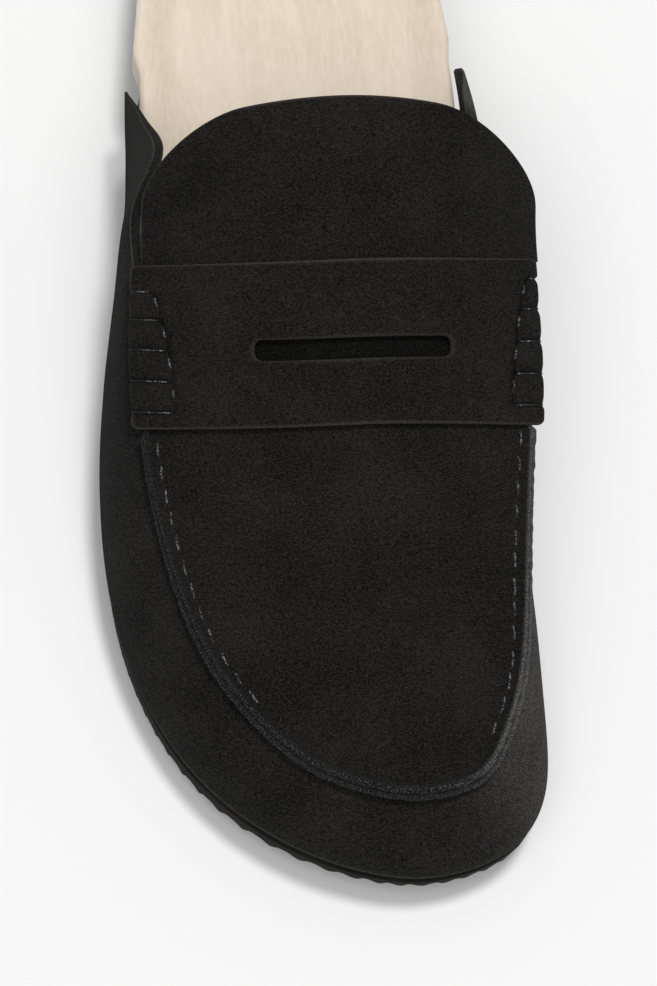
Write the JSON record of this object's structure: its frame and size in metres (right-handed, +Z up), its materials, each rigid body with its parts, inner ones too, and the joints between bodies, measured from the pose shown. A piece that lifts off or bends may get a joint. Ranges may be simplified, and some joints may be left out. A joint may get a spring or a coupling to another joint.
{
  "type": "loafer mule",
  "caption": "Backless penny loafer with a hand-sewn moccasin toe, a slotted saddle strap, a rounded tongue and a moulded footbed on a notched sole.",
  "frame": {"origin": "middle of the shoe's box in plan, on the floor that the sole stands on", "axes": "+Z up, +Y from the toe towards the heel, +X towards the inner (medial) side of this right shoe"},
  "size_m": [0.1082, 0.2852, 0.0883],
  "materials": {
    "black_suede": "black suede with a short directional nap, matt, with whitened stitching along the moccasin seam and the strap ends",
    "beige_suede": "smooth beige suede, matt, with a faint lengthwise nap",
    "black_rubber": "matt black moulded rubber"
  },
  "bodies": {
    "root": {"outsole": "black_rubber", "footbed": "beige_suede", "upper": "black_suede", "tongue": "black_suede", "strap": "black_suede", "strap_roll_lateral": "black_suede", "strap_roll_medial": "black_suede"}
  },
  "joints": []
}
